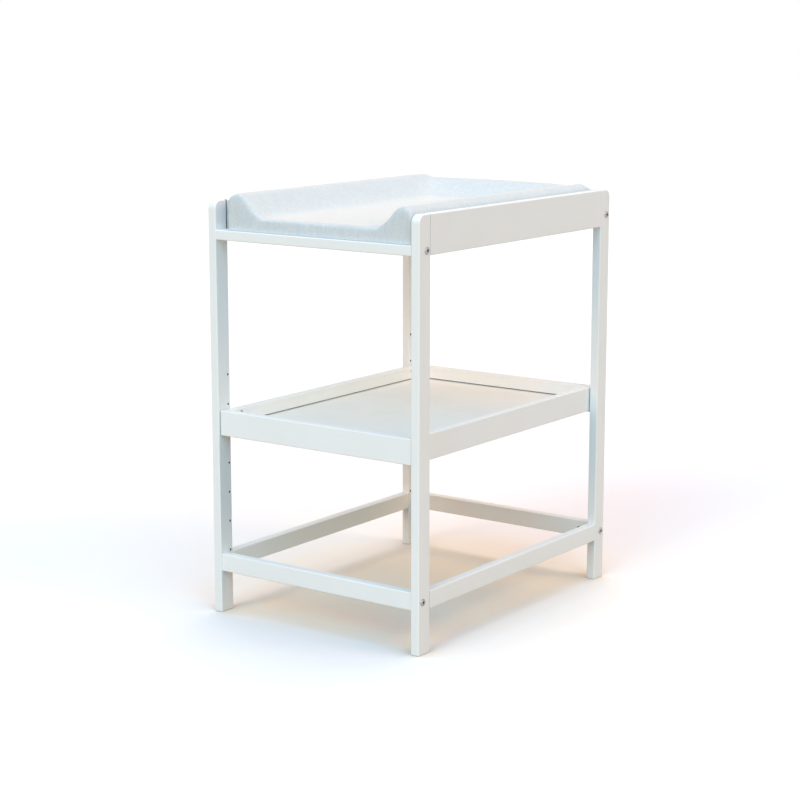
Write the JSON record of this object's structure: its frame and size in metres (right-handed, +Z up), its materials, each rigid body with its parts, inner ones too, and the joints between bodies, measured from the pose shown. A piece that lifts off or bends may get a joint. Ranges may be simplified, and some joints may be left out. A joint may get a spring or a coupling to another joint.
{
  "type": "changing table",
  "caption": "Open wooden changing table with raised sides round a foam mat, a lift-out storage tray on shelf pins and a low rail frame.",
  "frame": {"origin": "on the floor, under the centre of the four legs", "axes": "+Z up, the front (the mat's open end) towards -Y, +X to the right seen from the front"},
  "size_m": [0.573, 0.766, 0.9508],
  "materials": {
    "painted_wood": "satin, sprayed white paint",
    "painted_panel": "matte, white faced board",
    "steel": "bright zinc plate",
    "beech": "matte, bare wood",
    "foam": "matte, soft foam",
    "terry": "matte, terry cloth with a short loop pile"
  },
  "bodies": {
    "frame": {"left_front_leg": "painted_wood", "left_back_leg": "painted_wood", "left_side_panel": "painted_wood", "left_bottom_rail": "painted_wood", "right_front_leg": "painted_wood", "right_back_leg": "painted_wood", "right_side_panel": "painted_wood", "right_bottom_rail": "painted_wood", "deck_board": "painted_wood", "back_panel": "painted_wood", "front_bottom_rail": "painted_wood", "back_bottom_rail": "painted_wood", "left_frame_bolts": "steel", "right_frame_bolts": "steel", "left_barrel_nuts": "steel", "right_barrel_nuts": "steel", "left_side_dowels": "beech", "right_side_dowels": "beech", "cross_dowels": "beech", "shelf_pins": "steel"},
    "tray": {"tray_front_board": "painted_wood", "tray_back_board": "painted_wood", "tray_left_board": "painted_wood", "tray_right_board": "painted_wood", "tray_bottom_panel": "painted_panel", "tray_dowels": "beech", "tray_cams": "steel", "tray_cam_bolts": "steel"},
    "mat": {"mat_foam_base": "foam", "mat_left_wedge": "foam", "mat_right_wedge": "foam", "mat_back_wedge": "foam", "mat_cover": "terry"}
  },
  "joints": [
    {"name": "tray_lift", "type": "slide", "parent": "frame", "child": "tray", "axis": [0, 0, 1], "range_m": [0, 0.1346]},
    {"name": "mat_lift", "type": "slide", "parent": "frame", "child": "mat", "axis": [0, 0, 1], "range_m": [0, 0.15]}
  ]
}
